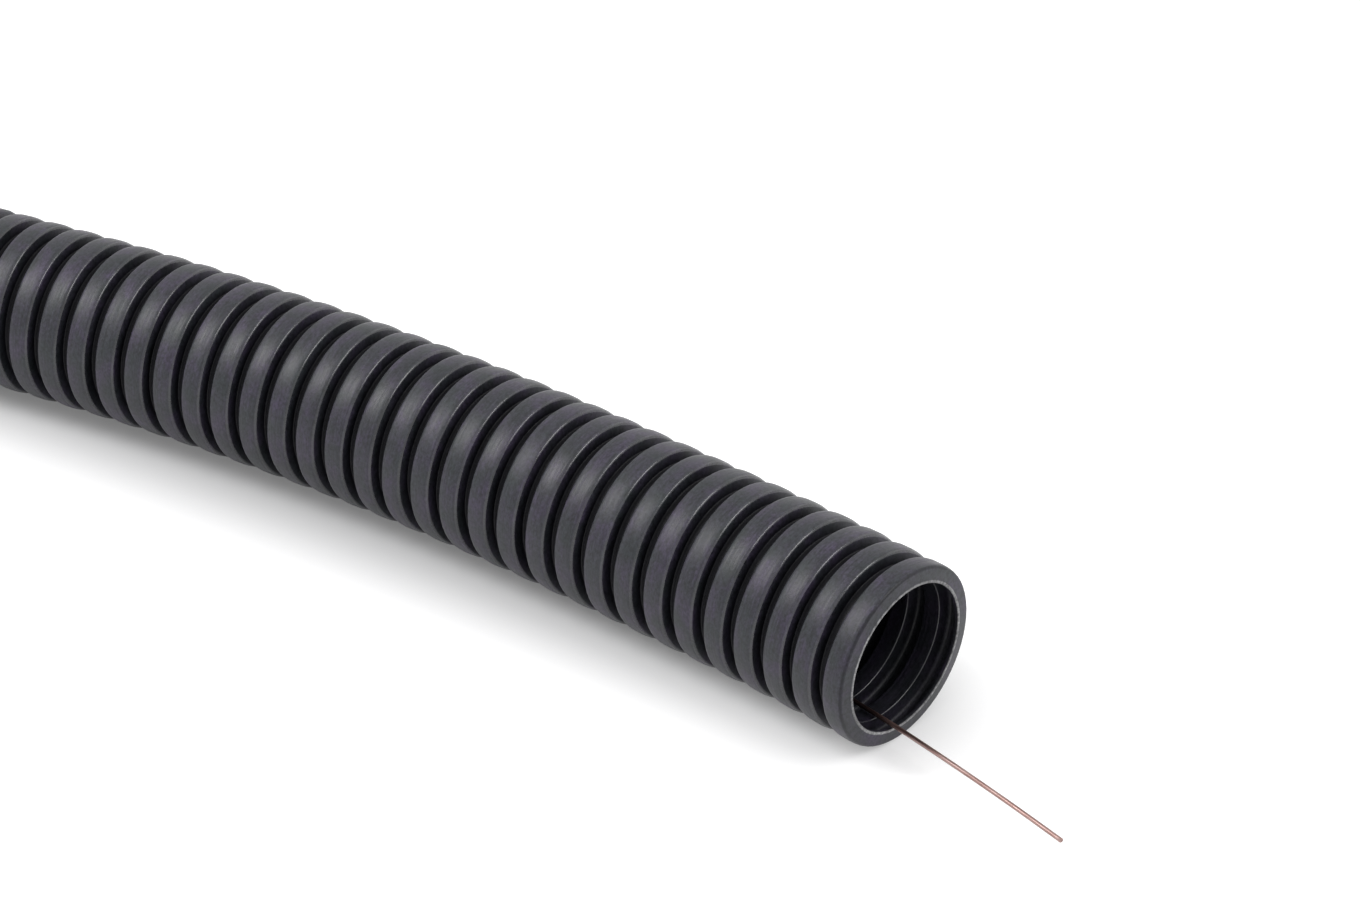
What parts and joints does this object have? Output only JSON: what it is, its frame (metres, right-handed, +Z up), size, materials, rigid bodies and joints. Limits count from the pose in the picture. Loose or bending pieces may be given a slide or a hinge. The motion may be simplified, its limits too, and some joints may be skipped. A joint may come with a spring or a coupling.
{
  "type": "corrugated conduit",
  "caption": "Length of pliable corrugated conduit with annular ribs and a thin wall, gently bent near its front end, with a draw wire through its bore that sticks out of both ends.",
  "frame": {"origin": "middle of the outer box, on the floor that the conduit lies on", "axes": "+Z up. The conduit's front end faces +X, 12 degrees towards -Y, and its back end faces -X."},
  "size_m": [1.0732, 0.0457, 0.032],
  "materials": {
    "conduit_plastic": "dark grey satin plastic, moulded",
    "wire_steel": "copper-coated steel wire"
  },
  "bodies": {
    "root": {"conduit": "conduit_plastic", "pull_wire": "wire_steel"}
  },
  "joints": []
}
